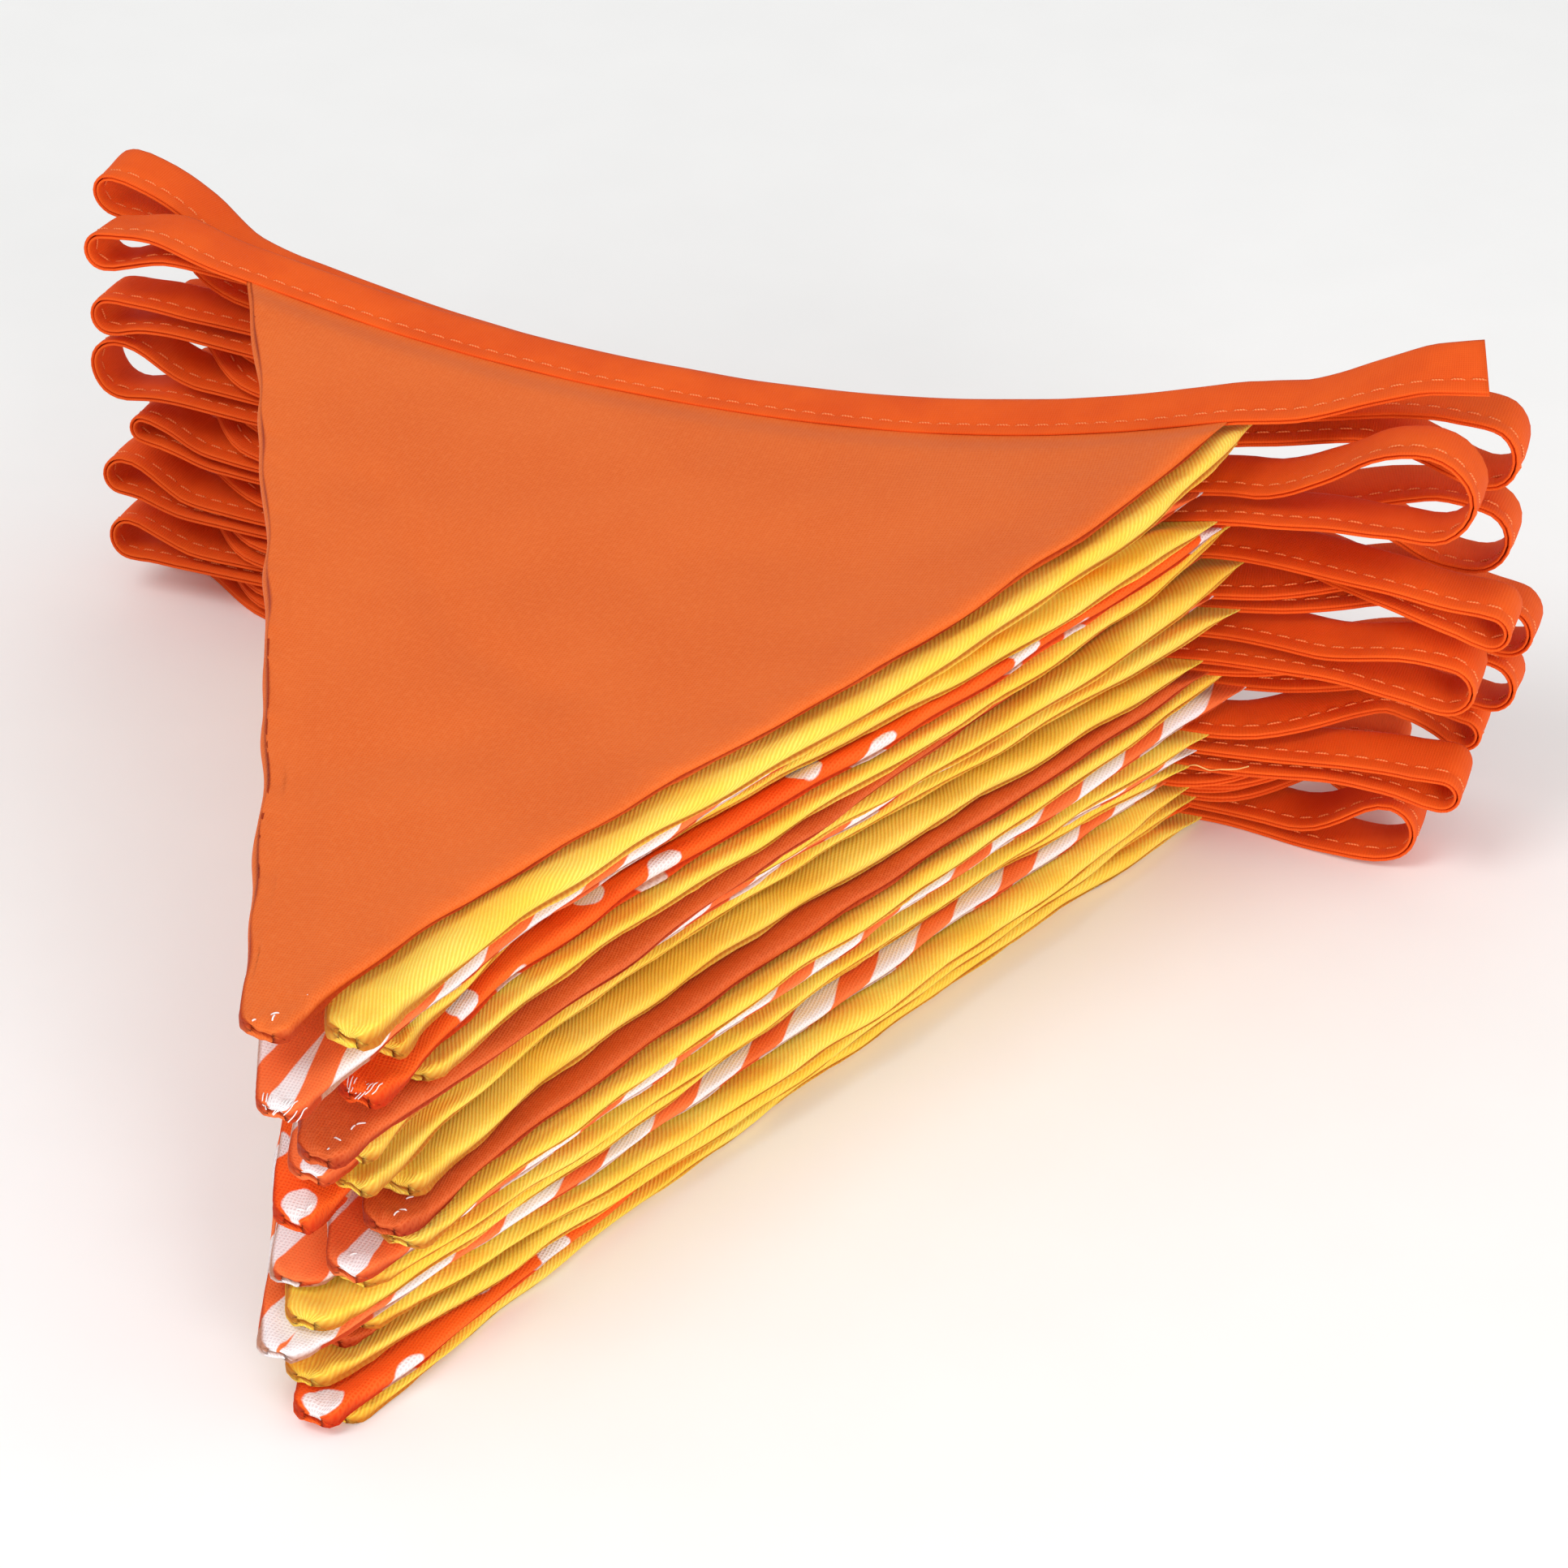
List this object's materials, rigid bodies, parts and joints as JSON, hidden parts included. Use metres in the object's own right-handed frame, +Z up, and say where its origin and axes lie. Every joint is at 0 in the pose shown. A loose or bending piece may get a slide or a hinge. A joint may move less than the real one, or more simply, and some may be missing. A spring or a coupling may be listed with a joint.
{
  "type": "fabric bunting",
  "caption": "Cloth bunting folded into a stack: triangular flags sewn along one folded tape, which turns back in open loops at both sides of the stack.",
  "frame": {"origin": "middle of the bounding box's footprint, on the surface the stack lies on", "axes": "+X along the flags' top edges, -Y towards the tips, +Z up through the stack"},
  "size_m": [0.307, 0.2596, 0.1077],
  "materials": {
    "tape": "matt folded cotton tape",
    "plain": "matt plain cotton",
    "twill": "matt ribbed cotton",
    "dots": "matt cotton with white dots",
    "zigzag": "matt cotton with a zigzag stripe"
  },
  "bodies": {
    "root": {"tape": "tape", "flag_01": "plain", "flag_02": "twill", "flag_03": "twill", "flag_04": "zigzag", "flag_05": "twill", "flag_06": "dots", "flag_07": "twill", "flag_08": "plain", "flag_09": "twill", "flag_10": "zigzag", "flag_11": "twill", "flag_12": "dots", "flag_13": "twill", "flag_14": "plain", "flag_15": "twill", "flag_16": "zigzag", "flag_17": "twill", "flag_18": "zigzag", "flag_19": "twill", "flag_20": "zigzag", "flag_21": "twill", "flag_22": "plain", "flag_23": "twill", "flag_24": "dots", "flag_25": "twill"}
  },
  "joints": []
}
